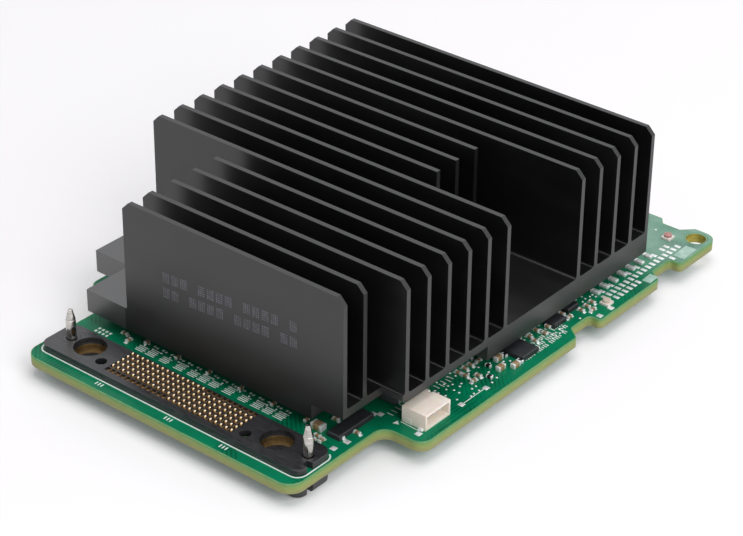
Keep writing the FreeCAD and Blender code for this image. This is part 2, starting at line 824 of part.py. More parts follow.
header_mouth = half_width - header_inset_right
header_back = header_mouth - header_depth
header_front = shoulder_y + header_inset_front
header_y = header_front + header_width / 2
header_x = (header_back + header_mouth) / 2


def build_header():
    """Side-entry wire header, open toward the card's right side."""
    p = header_pin_size
    body = block(header_x, header_y, board_top, header_depth, header_width, header_height)
    pocket_height = header_height - header_floor - header_roof
    pocket = Part.makeBox(header_pocket_depth + 1, header_width - 2 * header_side_wall, pocket_height,
                          V(header_mouth - header_pocket_depth, header_front + header_side_wall,
                            board_top + header_floor))
    body = body.cut(pocket)
    blade_z = board_top + header_floor + (pocket_height - p) / 2
    pins = []
    for k in range(header_ways):
        y = header_y + (k - (header_ways - 1) / 2) * header_way_pitch
        pins.append(header_pin(y, header_back - header_tail, header_mouth - header_pin_setback, blade_z))
        wall = header_depth - header_pocket_depth
        slot = Part.makeBox(wall + 1, p, p, V(header_back - 0.5, y - p / 2, blade_z))
        body = body.cut(slot)
    tabs = []
    t = header_tab_stock
    for side in (-1, 1):
        wall_y = header_y + side * header_width / 2
        tab_x = header_x + header_depth / 6
        foot = block(tab_x, wall_y + side * 1.5 * t, board_top, header_depth / 3, 3 * t, t)
        leg = block(tab_x, wall_y + side * t / 2, board_top, header_depth / 4, t, header_height / 2)
        tabs.append(join([foot, leg]))
    save(body, "header_housing")
    save(group(pins), "header_pins")
    save(group(tabs), "header_solder_tabs")


build_board()
build_sink()
build_fixings()
build_connector()
build_controller()
build_memory()
build_inductors()
build_chips()
build_passives()
build_leds()
build_header()
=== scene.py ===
import json
import math
import random
import bpy
from mathutils import Matrix, Vector
from mathutils.bvhtree import BVHTree


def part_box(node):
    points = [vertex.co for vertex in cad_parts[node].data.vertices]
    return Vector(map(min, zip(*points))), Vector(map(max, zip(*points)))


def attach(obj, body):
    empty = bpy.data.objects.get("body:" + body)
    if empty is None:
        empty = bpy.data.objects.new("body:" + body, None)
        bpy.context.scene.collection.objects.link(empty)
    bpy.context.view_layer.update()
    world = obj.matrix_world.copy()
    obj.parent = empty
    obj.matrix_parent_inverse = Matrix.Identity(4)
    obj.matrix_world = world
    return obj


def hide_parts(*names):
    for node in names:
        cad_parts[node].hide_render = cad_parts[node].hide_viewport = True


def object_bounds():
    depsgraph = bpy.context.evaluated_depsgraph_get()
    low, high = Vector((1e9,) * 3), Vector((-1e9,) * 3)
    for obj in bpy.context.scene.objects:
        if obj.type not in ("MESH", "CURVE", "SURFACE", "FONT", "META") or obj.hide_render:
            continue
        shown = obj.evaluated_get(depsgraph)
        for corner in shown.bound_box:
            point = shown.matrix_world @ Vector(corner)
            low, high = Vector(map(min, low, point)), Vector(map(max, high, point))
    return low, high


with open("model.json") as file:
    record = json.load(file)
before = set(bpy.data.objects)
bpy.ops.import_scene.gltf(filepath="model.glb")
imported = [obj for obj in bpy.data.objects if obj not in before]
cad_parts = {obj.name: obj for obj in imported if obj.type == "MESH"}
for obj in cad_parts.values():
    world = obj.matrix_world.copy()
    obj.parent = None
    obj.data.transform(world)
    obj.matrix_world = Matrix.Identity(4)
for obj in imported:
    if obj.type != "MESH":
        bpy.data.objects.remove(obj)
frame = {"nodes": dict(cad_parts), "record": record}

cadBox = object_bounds()
nodes = frame["nodes"]
mm = 0.001
random.seed(11)


def leaveEdit():
    bpy.ops.object.mode_set(mode="OBJECT")


def deselectAll():
    if bpy.context.mode != "OBJECT":
        leaveEdit()
    bpy.ops.object.select_all(action="DESELECT")


def select(*pieces):
    deselectAll()
    for piece in pieces:
        piece.select_set(True)
    bpy.context.view_layer.objects.active = pieces[0]


def addObject(name, data):
    made = bpy.data.objects.new(name, data)
    bpy.context.scene.collection.objects.link(made)
    return made


def linear(code):
    # sRGB hex to the linear colour that a socket takes
    parts = [int(code[k:k + 2], 16) / 255 for k in (1, 3, 5)]
    return tuple(v / 12.92 if v <= 0.04045 else ((v + 0.055) / 1.055) ** 2.4 for v in parts) + (1.0,)


def addNode(tree, kind, settings=None, links=None):
    # one shader node, with its settings, its ramp's stops, and its inputs linked or set
    made = tree.nodes.new("ShaderNode" + kind)
    for name, value in (settings or {}).items():
        if name == "stops":
            band = made.color_ramp
            while len(band.elements) < len(value):
                band.elements.new(0.5)
            for element, (place, code) in zip(band.elements, value):
                element.position = place
                element.color = linear(code)
        else:
            setattr(made, name, value)
    for name, value in (links or {}).items():
        if isinstance(value, bpy.types.Node):
            value = value.outputs[0]
        if isinstance(value, bpy.types.NodeSocket):
            tree.links.new(value, made.inputs[name])
        else:
            made.inputs[name].default_value = value
    return made


def newMaterial(name, **fixed):
    # a shader with its even values set, and the object coordinates that patterns start from
    material = bpy.data.materials.new(name)
    material.use_nodes = True
    tree = material.node_tree
    tree.nodes.clear()
    shader = addNode(tree, "BsdfPrincipled")
    for socket, value in fixed.items():
        shader.inputs[socket.replace("_", " ")].default_value = value
    addNode(tree, "OutputMaterial", {}, {"Surface": shader})
    return material, tree, shader, addNode(tree, "TexCoord").outputs["Object"]


def perMillimetre(size, stretch=(1, 1, 1)):
    # scale that makes a pattern's features size mm across, drawn out along an axis by stretch
    return [1 / (size * mm * s) for s in stretch]


def mottle(tree, place, size, detail, stretch=(1, 1, 1), roughness=0.5):
    # uneven patches, size mm across
    sized = addNode(tree, "Mapping", {}, {"Vector": place, "Scale": perMillimetre(size, stretch)})
    return addNode(tree, "TexNoise", {},
                   {"Vector": sized, "Scale": 1.0, "Detail": detail, "Roughness": roughness})


def dressShader(tree, shader, colour, gloss=None, relief=None):
    # gloss is (pattern, lowest and highest roughness), relief is (pattern, depth in mm, strength)
    tree.links.new(colour.outputs[0], shader.inputs["Base Color"])
    if gloss:
        pattern, low, high = gloss
        uneven = addNode(tree, "MapRange", {}, {"Value": pattern, "From Min": 0.3, "From Max": 0.7,
                                                "To Min": low, "To Max": high})
        tree.links.new(uneven.outputs[0], shader.inputs["Roughness"])
    if relief:
        pattern, depth, strength = relief
        raised = addNode(tree, "Bump", {}, {"Height": pattern, "Distance": depth * mm, "Strength": strength})
        tree.links.new(raised.outputs[0], shader.inputs["Normal"])


def workedFinish(name, look, **fixed):
    # mottled colour, uneven gloss and a fine relief, each at its own real size
    material, tree, shader, place = newMaterial(name, **fixed)
    grain = look.get("grain", (1, 1, 1))
    patches = mottle(tree, place, look["patch"], 5.0, grain, 0.6)
    colour = addNode(tree, "ValToRGB", {"stops": look["colours"]}, {"Fac": patches})
    bumps = mottle(tree, place, look["relief"], 3.0, grain)
    dressShader(tree, shader, colour, (bumps, *look["gloss"]), (bumps, look["depth"], 1.0))
    return material


# camera: where a person holds it to see the nose and the right side
camera = {"target": (1.217, -0.937, 7.875), "distance": 365.0, "azimuth": 39.34, "elevation": 30.91,
          "roll": 0.585, "lens": 116.673}


def buildCamera():
    data = bpy.data.cameras.new("camera")
    data.lens = camera["lens"]
    data.sensor_width = 36.0
    data.clip_start = 0.01
    data.clip_end = 20.0
    eye = addObject("camera", data)
    turn = (Matrix.Rotation(math.radians(camera["azimuth"]), 4, "Z")
            @ Matrix.Rotation(math.radians(90 - camera["elevation"]), 4, "X")
            @ Matrix.Rotation(math.radians(camera["roll"]), 4, "Z"))
    back = Matrix.Translation((0, 0, camera["distance"] * mm))
    eye.matrix_world = Matrix.Translation(Vector(camera["target"]) * mm) @ turn @ back
    bpy.context.scene.camera = eye


# studio: one wide lamp overhead, a strong one at the right, a weak one at the left
studio = {"floorSize": 3000, "floorDrop": 0.02, "floorColours": [(0.3, "#faf7fa"), (0.7, "#fbf9fb")],
          "floorPatch": 90, "floorGlow": 0.07, "farGlow": 0.7, "glowReach": (60, 700),
          "worldColour": "#fbfcfe", "worldLight": 0.38,
          "lamps": [("overhead", (40, 60, 430), (0, 10, 0), 400, 0.9),
                    ("left", (-420, -180, 260), (0, 0, 10), 320, 0.2),
                    ("right", (400, -120, 330), (0, 0, 10), 300, 1.2)]}


def seenShare(tree):
    # 1 for what the camera sees, straight or in metal and glass, and 0 for the light on the object
    ray = addNode(tree, "LightPath")
    mirrored = addNode(tree, "Math", {"operation": "MAXIMUM"},
                       {0: ray.outputs["Is Glossy Ray"], 1: ray.outputs["Is Transmission Ray"]})
    return addNode(tree, "Math", {"operation": "MAXIMUM"}, {0: ray.outputs["Is Camera Ray"], 1: mirrored})


def buildStudio():
    for name, place, aim, size, watts in studio["lamps"]:
        data = bpy.data.lights.new(name, "AREA")
        data.shape = "SQUARE"
        data.size = size * mm
        data.energy = watts
        lamp = addObject(name, data)
        lamp.location = Vector(place) * mm
        lamp.rotation_euler = (Vector(aim) - Vector(place)).to_track_quat("-Z", "Y").to_euler()
    world = bpy.data.worlds.new("studio")
    bpy.context.scene.world = world
    world.use_nodes = True
    tree = world.node_tree
    tree.nodes.clear()
    strength = addNode(tree, "MapRange", {},
                       {"Value": seenShare(tree), "To Min": studio["worldLight"], "To Max": 1.0})
    sky = addNode(tree, "Background", {}, {"Color": linear(studio["worldColour"]), "Strength": strength})
    addNode(tree, "OutputWorld", {}, {"Surface": sky})

    # floor: matt white board that keeps the shadow, with a little glow to the camera only
    material, tree, shader, place = newMaterial("paperBoardMattWhite", Roughness=0.9)
    cloudy = mottle(tree, place, studio["floorPatch"], 2.0)
    dressShader(tree, shader, addNode(tree, "ValToRGB", {"stops": studio["floorColours"]}, {"Fac": cloudy}))
    # far from the lamps the board would go grey, so the glow grows outwards
    far = addNode(tree, "VectorMath", {"operation": "LENGTH"}, {0: place})
    near, distant = studio["glowReach"]
    rise = addNode(tree, "MapRange", {"interpolation_type": "SMOOTHSTEP"},
                   {"Value": far.outputs["Value"], "From Min": near * mm, "From Max": distant * mm,
                    "To Min": studio["floorGlow"], "To Max": studio["farGlow"]})
    glow = addNode(tree, "Math", {"operation": "MULTIPLY"}, {0: seenShare(tree), 1: rise})
    tree.links.new(glow.outputs[0], shader.inputs["Emission Strength"])
    shader.inputs["Emission Color"].default_value = linear("#ffffff")
    deselectAll()
    level = cadBox[0][2] - studio["floorDrop"] * mm
    bpy.ops.mesh.primitive_plane_add(size=studio["floorSize"] * mm, location=(0, 0, level))
    floor = bpy.context.object
    floor.name = "floor"
    bpy.ops.object.transform_apply()
    floor.data.materials.append(material)


def dressedCopy(node, name, material):
    # own mesh of a node, merged, with its flat faces whole again
    piece = addObject(name, nodes[node].data.copy())
    piece.data.materials.clear()
    piece.data.materials.append(material)
    select(piece)
    bpy.ops.object.mode_set(mode="EDIT")
    bpy.ops.mesh.select_all(action="SELECT")
    bpy.ops.mesh.remove_doubles(threshold=0.0005 * mm)
    bpy.ops.mesh.dissolve_limited(angle_limit=math.radians(0.5))
    leaveEdit()
    return piece


def applyModifier(piece, kind, **settings):
    select(piece)
    made = piece.modifiers.new(kind.lower(), kind)
    for name, value in settings.items():
        setattr(made, name, value)
    bpy.ops.object.modifier_apply(modifier=made.name)


def bevelEdges(piece, width, segments=2, angle=30):
    applyModifier(piece, "BEVEL", width=width * mm, segments=segments, limit_method="ANGLE",
                  angle_limit=math.radians(angle))


def smoothShade(piece, angle):
    select(piece)
    bpy.ops.object.shade_smooth_by_angle(angle=math.radians(angle))


def softenEdges(piece, width, segments=2):
    bevelEdges(piece, width, segments)
    smoothShade(piece, 30)
    applyModifier(piece, "WEIGHTED_NORMAL", mode="FACE_AREA", keep_sharp=True)    # wide faces stay flat


def settle(piece, slotName, *standsFor, finish=None):
    # what every finished piece needs: its material, its body, the nodes it stands for
    if finish:
        piece.data.materials.append(finish)
    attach(piece, "root")
    if standsFor:
        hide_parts(*standsFor)


def pickFaces(piece, test):
    # edit mode with the faces selected whose middle and normal pass the test
    select(piece)
    for group in (piece.data.vertices, piece.data.edges):
        for item in group:
            item.select = False
    for face in piece.data.polygons:
        face.select = test(face.center / mm, face.normal)
    bpy.ops.object.mode_set(mode="EDIT")
    bpy.ops.mesh.select_mode(type="FACE")


def coverFaces(piece, material, test):
    # a second finish on the faces that pass the test
    piece.data.materials.append(material)
    pickFaces(piece, test)
    piece.active_material_index = len(piece.data.materials) - 1
    bpy.ops.object.material_slot_assign()
    leaveEdit()


def startBlock(name, size, middle=(0, 0, 0)):
    # block of the given size in mm, its place in its mesh
    deselectAll()
    bpy.ops.mesh.primitive_cube_add(size=1)
    piece = bpy.context.object
    piece.name = name
    piece.scale = [s * mm for s in size]
    piece.location = [v * mm for v in middle]
    bpy.ops.object.transform_apply()
    return piece


def startDisc(name, vertices, radius, height, narrow=1.0):
    # low disc on its base, with its top narrowed
    deselectAll()
    bpy.ops.mesh.primitive_circle_add(vertices=vertices, radius=radius * mm, fill_type="NGON")
    piece = bpy.context.object
    piece.name = name
    bpy.ops.object.mode_set(mode="EDIT")
    bpy.ops.mesh.extrude_region_move(TRANSFORM_OT_translate={"value": (0, 0, height * mm)})
    bpy.ops.transform.resize(value=(narrow, narrow, 1))
    bpy.ops.mesh.select_all(action="SELECT")
    bpy.ops.mesh.normals_make_consistent(inside=False)
    leaveEdit()
    return piece


def copies(pattern, name, places):
    # the pattern at every (x, y, z) in mm, with a turn and a stretch where given, all joined
    made = []
    for x, y, z, *given in places:
        turn, stretch = given or (0, (1, 1, 1))
        twin = addObject(name, pattern.data.copy())
        twin.data.transform(Matrix.Translation((x * mm, y * mm, z * mm))
                            @ Matrix.Rotation(math.radians(turn), 4, "Z") @ Matrix.Diagonal((*stretch, 1)))
        made.append(twin)
    bpy.data.objects.remove(pattern)
    select(*made)
    bpy.ops.object.join()
    piece = bpy.context.object
    piece.name = name
    return piece


buildCamera()
buildStudio()
bpy.context.scene.view_settings.view_transform = "Standard"
print("camera, lamps and floor are set")

# heat sink: extruded, machined and black anodised, so dull satin with faint lines along the fins
heatSink = {"edge": 0.07, "finHeight": 18.0, "millTo": (-17.0, -12.0), "gloss": (0.3, 0.42),
            "finColours": [(0.3, "#070708"), (0.7, "#0c0c0d")], "finGleam": 0.47,
            # lighter tones for the milled faces: part cut finish, part painted sheen
            "milledColours": [(0.3, "#131314"), (0.7, "#1c1c1d")], "milledGleam": 0.95,
            "patch": 9, "lineSpacing": 0.5, "speckle": 0.16, "lineDepth": 0.003,
            "markLeft": -8.9, "markPitch": 1.72, "markCells": 15, "markRows": (14.9, 17.4), "markTilt": 4.0,
            "dotPitch": 0.34, "dotGrid": (4, 5), "dotRadius": 0.13, "dotHeight": 0.015}


def anodisedFinish(name, tones, gleam):
    # dyed oxide film: near black, its satin gleam stronger where a cutter left the metal smooth
    material, tree, shader, place = newMaterial(name, IOR=1.65, Specular_IOR_Level=heatSink[gleam])
    patches = mottle(tree, place, heatSink["patch"], 6.0, (3, 1, 1), 0.62)
    tone = addNode(tree, "ValToRGB", {"stops": heatSink[tones]}, {"Fac": patches})
    lines = mottle(tree, place, heatSink["lineSpacing"], 2.0, (60, 1, 1))
    speckle = mottle(tree, place, heatSink["speckle"], 2.0)
    both = addNode(tree, "Math", {"operation": "ADD"}, {0: lines, 1: speckle})
    dressShader(tree, shader, tone, (patches, *heatSink["gloss"]), (both, heatSink["lineDepth"], 1.0))
    return material


def buildHeatSink():
    black = anodisedFinish("aluminiumExtrudedBlackAnodised", "finColours", "finGleam")
    sink = dressedCopy("heat_sink", "heatSinkMachined", black)
    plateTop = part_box("heat_sink")[1].z / mm - heatSink["finHeight"]
    # cutters have been over the plate's sides and its open corner, not over the floors between fins; these
    # faces also get lighter colours as a painted sheen
    cornerX, cornerY = heatSink["millTo"]
    bpy.ops.object.mode_set(mode="EDIT")
    bpy.ops.mesh.select_all(action="SELECT")
    bpy.ops.mesh.bisect(plane_co=(cornerX * mm, 0, 0), plane_no=(1, 0, 0))
    leaveEdit()
    softenEdges(sink, heatSink["edge"])
    milledWithSheen = anodisedFinish("aluminiumMilledBlackAnodised", "milledColours", "milledGleam")
    coverFaces(sink, milledWithSheen, lambda middle, normal: middle.z < plateTop + 0.05 and
               (normal.z < 0.9 or (middle.x < cornerX and middle.y < cornerY)))
    settle(sink, "black_anodised_aluminium", "heat_sink")

    # maker's field on the front fin, kept to plain blocks of ink-jet dots
    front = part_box("heat_sink")[0].y / mm
    dot = startDisc("dot", 8, heatSink["dotRadius"], heatSink["dotHeight"], 0.7)
    dot.data.transform(Matrix.Rotation(math.radians(90), 4, "X"))
    rise = math.tan(math.radians(heatSink["markTilt"]))
    columns, steps = heatSink["dotGrid"]
    places = []
    for row in heatSink["markRows"]:
        for cell in range(heatSink["markCells"]):
            if (cell * 7 + int(row)) % 5 == 3:         # gaps between groups
                continue
            left = heatSink["markLeft"] + cell * heatSink["markPitch"]
            for column in range(columns):
                for step in range(steps):
                    x = left + column * heatSink["dotPitch"]
                    z = row + step * heatSink["dotPitch"] + (x - heatSink["markLeft"]) * rise
                    places.append((x, front - 0.001, z))
    marks = copies(dot, "heatSinkDotField", places)
    ink = workedFinish("pigmentInkJetted", {"patch": 0.7, "colours": [(0.3, "#4c4c50"), (0.7, "#7c7c84")],
                                            "relief": 0.1, "gloss": (0.6, 0.8), "depth": 0.004})
    settle(marks, "black_anodised_aluminium", finish=ink)


buildHeatSink()
print("heat sink is machined and anodised")


# circuit board: routed glass epoxy, both faces under a green solder mask that stops short of the edge
board = {"maskInset": 0.13, "maskThickness": 0.03, "maskRim": 0.02, "maskSink": 0.005, "edge": 0.02,
         "maskColours": [(0.3, "#004d34"), (0.7, "#007a53")], "maskPatch": 5, "filmColour": "#a9c4b8",
         "filmReach": ((8, 24), (29, 41)), "traceLight": "#0a8a61", "tracePitch": 0.62, "traceShow": 0.42,
         "traceHeight": 0.03, "blockSize": 7.0, "layerHeight": 0.16, "layerRelief": 0.02, "riseShare": 0.62,
         "edgeColours": [(0.25, "#6c7440"), (0.5, "#8c9457"), (0.8, "#a7a872")],
         "edgeRise": [(0.0, "#8f8a66"), (0.3, "#94985a"), (0.68, "#86a052"),
                      (0.88, "#4f9a5c"), (1.0, "#3a9a68")]}
boardTree = BVHTree.FromPolygons([v.co for v in nodes["circuit_board"].data.vertices],
                                 [face.vertices for face in nodes["circuit_board"].data.polygons])


def surfaceZ():
    # top of the solder mask
    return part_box("circuit_board")[1].z / mm + board["maskThickness"] - board["maskSink"]


def undersideZ():
    # the same on the other face
    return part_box("circuit_board")[0].z / mm - board["maskThickness"] + board["maskSink"]


def coveredSpots(side):
    # rectangles in mm that the CAD's pieces cover on the board's top (1) or underside (-1)
    level = surfaceZ() if side > 0 else undersideZ()
    spots = []
    for name, piece in nodes.items():
        if name in ("circuit_board", "heat_sink"):
            continue
        for face in piece.data.polygons:
            if side * face.normal.z > 0.9 and side * (face.center.z / mm - level) > 0.05:
                corners = [piece.data.vertices[v].co / mm for v in face.vertices]
                spots.append((min(c.x for c in corners), min(c.y for c in corners),
                              max(c.x for c in corners), max(c.y for c in corners)))
    return spots


def onBoard(x, y, reach):
    # the board is under the place and under its surroundings
    down = Vector((0, 0, -1))
    return all(boardTree.ray_cast(Vector((x + i * reach, y + j * reach, 100)) * mm, down)[0]
               for i in (-1, 0, 1) for j in (-1, 0, 1))


def isFree(spots, x, y, reach):
    covered = any(left - reach < x < right + reach and front - reach < y < rear + reach
                  for left, front, right, rear in spots)
    return not covered and onBoard(x, y, reach + 0.15)


def scatter(spots, zone, pitch, share, reach):
    # free places in a zone (left, front, right, rear) on a loose grid
    left, front, right, rear = zone
    found = []
    for row in range(int((rear - front) / pitch) + 1):
        for column in range(int((right - left) / pitch) + 1):
            x = left + column * pitch + random.uniform(-0.25, 0.25)
            y = front + row * pitch + random.uniform(-0.25, 0.25)
            if random.random() < share and isFree(spots, x, y, reach):
                spots.append((x - reach / 2, y - reach / 2, x + reach / 2, y + reach / 2))
                found.append((x, y))
    return found


def laminateFinish():
    # glass cloth in epoxy, cut by a router: pale green-brown, layered, dull, greener under the mask
    material, tree, shader, place = newMaterial("glassEpoxyLaminateRouted", Roughness=0.62)
    layers = mottle(tree, place, board["layerHeight"], 3.0, (9, 9, 1))
    tone = addNode(tree, "ValToRGB", {"stops": board["edgeColours"]}, {"Fac": layers})
    low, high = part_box("circuit_board")
    height = addNode(tree, "SeparateXYZ", {}, {"Vector": place})
    share = addNode(tree, "MapRange", {},
                    {"Value": height.outputs["Z"], "From Min": low.z, "From Max": high.z})
    rise = addNode(tree, "ValToRGB", {"stops": board["edgeRise"]}, {"Fac": share})
    both = addNode(tree, "MixRGB", {}, {"Fac": board["riseShare"], "Color1": tone, "Color2": rise})
    dressShader(tree, shader, both, relief=(layers, board["layerRelief"], 1.0))
    return material


def maskFinish():
    # epoxy solder mask, curtain coated over copper: glossy green, paler and raised over the tracks
    material, tree, shader, place = newMaterial("epoxySolderMaskGreenCurtainCoated", Roughness=0.28,
                                                Specular_IOR_Level=0.15)
    blocks = addNode(tree, "Mapping", {}, {"Vector": place, "Scale": perMillimetre(board["blockSize"])})
    area = addNode(tree, "TexVoronoi", {"distance": "CHEBYCHEV"},
                   {"Vector": blocks, "Scale": 1.0, "Randomness": 0.8})
    choice = addNode(tree, "SeparateColor", {}, {"Color": area.outputs["Color"]})
    lines = []
    for turn in (0, 90, 45):
        run = addNode(tree, "Mapping", {"vector_type": "TEXTURE"},
                      {"Vector": place, "Rotation": (0, 0, math.radians(turn)),
                       "Scale": [board["tracePitch"] * mm] * 3})
        lines.append(addNode(tree, "TexWave", {"bands_direction": "X"},
                             {"Vector": run, "Scale": 0.3142, "Distortion": 0.0}))    # one band each pitch
    pickX = addNode(tree, "Math", {"operation": "GREATER_THAN"}, {0: choice.outputs["Red"], 1: 0.55})
    pickY = addNode(tree, "Math", {"operation": "GREATER_THAN"}, {0: choice.outputs["Green"], 1: 0.6})
    straight = addNode(tree, "MixRGB", {}, {"Fac": pickX, "Color1": lines[0], "Color2": lines[1]})
    routed = addNode(tree, "MixRGB", {}, {"Fac": pickY, "Color1": straight, "Color2": lines[2]})
    sharp = addNode(tree, "MapRange", {"interpolation_type": "SMOOTHSTEP"},
                    {"Value": routed, "From Min": 0.42, "From Max": 0.62})
    poured = addNode(tree, "Math", {"operation": "GREATER_THAN"}, {0: choice.outputs["Blue"], 1: 0.3})
    copper = addNode(tree, "Math", {"operation": "MAXIMUM"}, {0: sharp, 1: poured})
    patches = mottle(tree, place, board["maskPatch"], 4.0)
    ground = addNode(tree, "ValToRGB", {"stops": board["maskColours"]}, {"Fac": patches})
    share = addNode(tree, "Math", {"operation": "MULTIPLY"}, {0: copper, 1: board["traceShow"]})
    mixed = addNode(tree, "MixRGB", {},
                    {"Fac": share, "Color1": ground, "Color2": linear(board["traceLight"])})
    # painted haze: the mask goes paler and milky towards the tab, standing in for flare light
    along = addNode(tree, "SeparateXYZ", {}, {"Vector": place})
    paintedHaze = patches
    for axis, (start, end) in zip("XY", board["filmReach"]):
        rise = addNode(tree, "MapRange", {"interpolation_type": "SMOOTHSTEP"},
                       {"Value": along.outputs[axis], "From Min": start * mm, "From Max": end * mm})
        paintedHaze = addNode(tree, "Math", {"operation": "MULTIPLY"}, {0: paintedHaze, 1: rise})
    hazedMask = addNode(tree, "MixRGB", {}, {"Fac": paintedHaze, "Color1": mixed, "Color2": linear(board["filmColour"])})
    dressShader(tree, shader, hazedMask, relief=(copper, board["traceHeight"], 0.35))
    return material


def buildBoard():
    plate = dressedCopy("circuit_board", "circuitBoardMasked", laminateFinish())
    plate.data.materials.append(maskFinish())
    inset, rim, thick = (board[name] * mm for name in ("maskInset", "maskRim", "maskThickness"))
    for side in (1, -1):
        pickFaces(plate, lambda middle, normal: normal.z * side > 0.9)
        bpy.ops.mesh.inset(thickness=inset, use_boundary=True, use_even_offset=True)
        bpy.ops.mesh.inset(thickness=rim, depth=thick, use_boundary=True)
        plate.active_material_index = 1
        bpy.ops.object.material_slot_assign()
        leaveEdit()
    softenEdges(plate, board["edge"], segments=1)
    settle(plate, "solder_mask_green", "circuit_board")


buildBoard()
print("board is routed and masked")


# connector: dark glass-filled polymer, moulded, so satin with flow streaks along its length
connector = {"colours": [(0.25, "#19191b"), (0.5, "#232326"), (0.8, "#313136")], "edge": 0.07, "wall": 0.22,
             "columns": 25, "rows": 6, "pitch": 1.0, "cellDepth": 0.5, "rowWidth": 0.8, "crest": 0.04,
             "contactWidth": 0.42, "leafWidth": 0.38, "leafLength": 0.16, "contactStock": 0.08,
             "bends": ((0.14, 0.2, 0.95), (0.17, 0.26, 0.85), (0.13, 0.06, 0.9), (0.1, -0.06, 0.9)),
             "contactColours": [(0.0, "#6b4d28"), (0.6, "#9c7645"), (0.88, "#e8cfa4"), (1.0, "#fff4e0")]}


def polymerFinish():
    # flow streaks run with the melt, from end to end
    return workedFinish("liquidCrystalPolymerMoulded",
                        {"patch": 0.9, "grain": (7, 1, 1), "colours": connector["colours"], "relief": 0.22,
                         "gloss": (0.24, 0.5), "depth": 0.025}, IOR=1.65)


def fieldPlaces():
    # middle of every contact, read from the contacts' own box
    low, high = (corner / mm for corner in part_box("connector_contacts"))
    firstX = low.x + connector["contactWidth"] / 2
    firstY = (low.y + high.y) / 2 - (connector["rows"] - 1) / 2 * connector["pitch"]
    return firstX, firstY


def contactUsed(column, row):
    if row == 0:
        return column >= connector["columns"] // 2
    if row == connector["rows"] - 1:
        return column < connector["columns"] * 3 // 5
    return True


def contactFinish(floor, top):
    # gold plated bronze strip, with painted shade brown towards the root down in its cell and a painted
    # highlight near white at the rolled tip
    material, tree, shader, place = newMaterial("copperAlloyStampedGoldTipped", Metallic=1.0)
    height = addNode(tree, "SeparateXYZ", {}, {"Vector": place})
    uneven = mottle(tree, place, 0.2, 3.0)
    share = addNode(tree, "MapRange", {},
                    {"Value": height.outputs["Z"], "From Min": floor * mm, "From Max": top * mm})
    ragged = addNode(tree, "Math", {"operation": "MULTIPLY_ADD"}, {0: uneven, 1: 0.3, 2: share})
    shifted = addNode(tree, "Math", {"operation": "SUBTRACT"}, {0: ragged, 1: 0.15})
    tone = addNode(tree, "ValToRGB", {"stops": connector["contactColours"]}, {"Fac": shifted})
    dressShader(tree, shader, tone, (uneven, 0.26, 0.42))
    return material


def buildConnector():
    polymer = polymerFinish()
    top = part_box("connector_housing")[1].z / mm
    for node, name in (("connector_housing", "connectorHousing"), ("backing_plate", "connectorBacking")):
        piece = dressedCopy(node, name, polymer)
        softenEdges(piece, connector["edge"])
        settle(piece, "connector_polymer", node)

    firstX, firstY = fieldPlaces()
    pitch, depth, crest = connector["pitch"], connector["cellDepth"], connector["crest"]
    rows, columns = range(connector["rows"]), range(connector["columns"])
    wall = startBlock("cellWall", (connector["wall"], connector["rowWidth"] + 0.02, depth))
    pickFaces(wall, lambda middle, normal: normal.z > 0.9)
    bpy.ops.mesh.inset(thickness=0.05 * mm, depth=0.0)
    bpy.ops.transform.translate(value=(0, 0, crest * mm))
    leaveEdit()
    places = [(firstX + (column + 0.5) * pitch, firstY + row * pitch, top - depth / 2 - crest)
              for row in rows for column in columns[:-1]]
    walls = copies(wall, "connectorCellWalls", places)
    # thin walls of the same polymer, painted warm brown for the bronze's reflected light on both sides
    bronzeBounceWall = workedFinish("liquidCrystalPolymerThinWall", {
        "patch": 0.4, "colours": [(0.3, "#3a2d20"), (0.7, "#6b543a")], "relief": 0.2,
        "gloss": (0.45, 0.6), "depth": 0.01})
    settle(walls, "connector_polymer", finish=bronzeBounceWall)

    # contact: a strip bent up from the floor of its cell, narrowed and rolled over at the tip
    leaf = (connector["leafWidth"], connector["leafLength"], connector["contactStock"])
    strip = startBlock("contactLeaf", leaf, (0, -0.26, connector["contactStock"] / 2))
    for forward, lift, narrow in connector["bends"]:
        last = max(strip.data.polygons, key=lambda face: face.center.y).index
        pickFaces(strip, lambda middle, normal: False)
        leaveEdit()
        strip.data.polygons[last].select = True
        bpy.ops.object.mode_set(mode="EDIT")
        bpy.ops.mesh.extrude_region_move(TRANSFORM_OT_translate={"value": (0, forward * mm, lift * mm)})
        bpy.ops.transform.resize(value=(narrow, 1, 1))
        leaveEdit()
    bevelEdges(strip, 0.03, 1, 50)
    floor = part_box("connector_contacts")[0].z / mm
    span = max(v.co.z for v in strip.data.vertices) / mm
    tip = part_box("connector_contacts")[1].z / mm
    places = [(firstX + column * pitch, firstY + row * pitch, floor, 0, (1, 1, (tip - floor) / span))
              for row in rows for column in columns if contactUsed(column, row)]
    leaves = copies(strip, "connectorLeaves", places)
    smoothShade(leaves, 40)
    settle(leaves, "contact_gold", "connector_contacts", finish=contactFinish(floor, tip))

    # cell floors: a sheet of painted brown shade and bronze bounce between the leaves
    size = ((len(columns) - 0.4) * pitch, len(rows) * pitch - 0.3, 0.06)
    lastX, lastY = firstX + columns[-1] * pitch, firstY + rows[-1] * pitch
    middle = ((firstX + lastX) / 2, (firstY + lastY) / 2, top - depth + 0.03)
    floors = startBlock("connectorCellFloors", size, middle)
    bevelEdges(floors, 0.02, 1)
    paintedCellShade = workedFinish("polyimideSheetCut", {"patch": 0.5, "colours": [(0.3, "#7b5c34"), (0.7, "#a88453")],
                                               "relief": 0.2, "gloss": (0.4, 0.6), "depth": 0.01})
    settle(floors, "connector_polymer", finish=paintedCellShade)


buildConnector()
print("connector, cells and contacts are in")


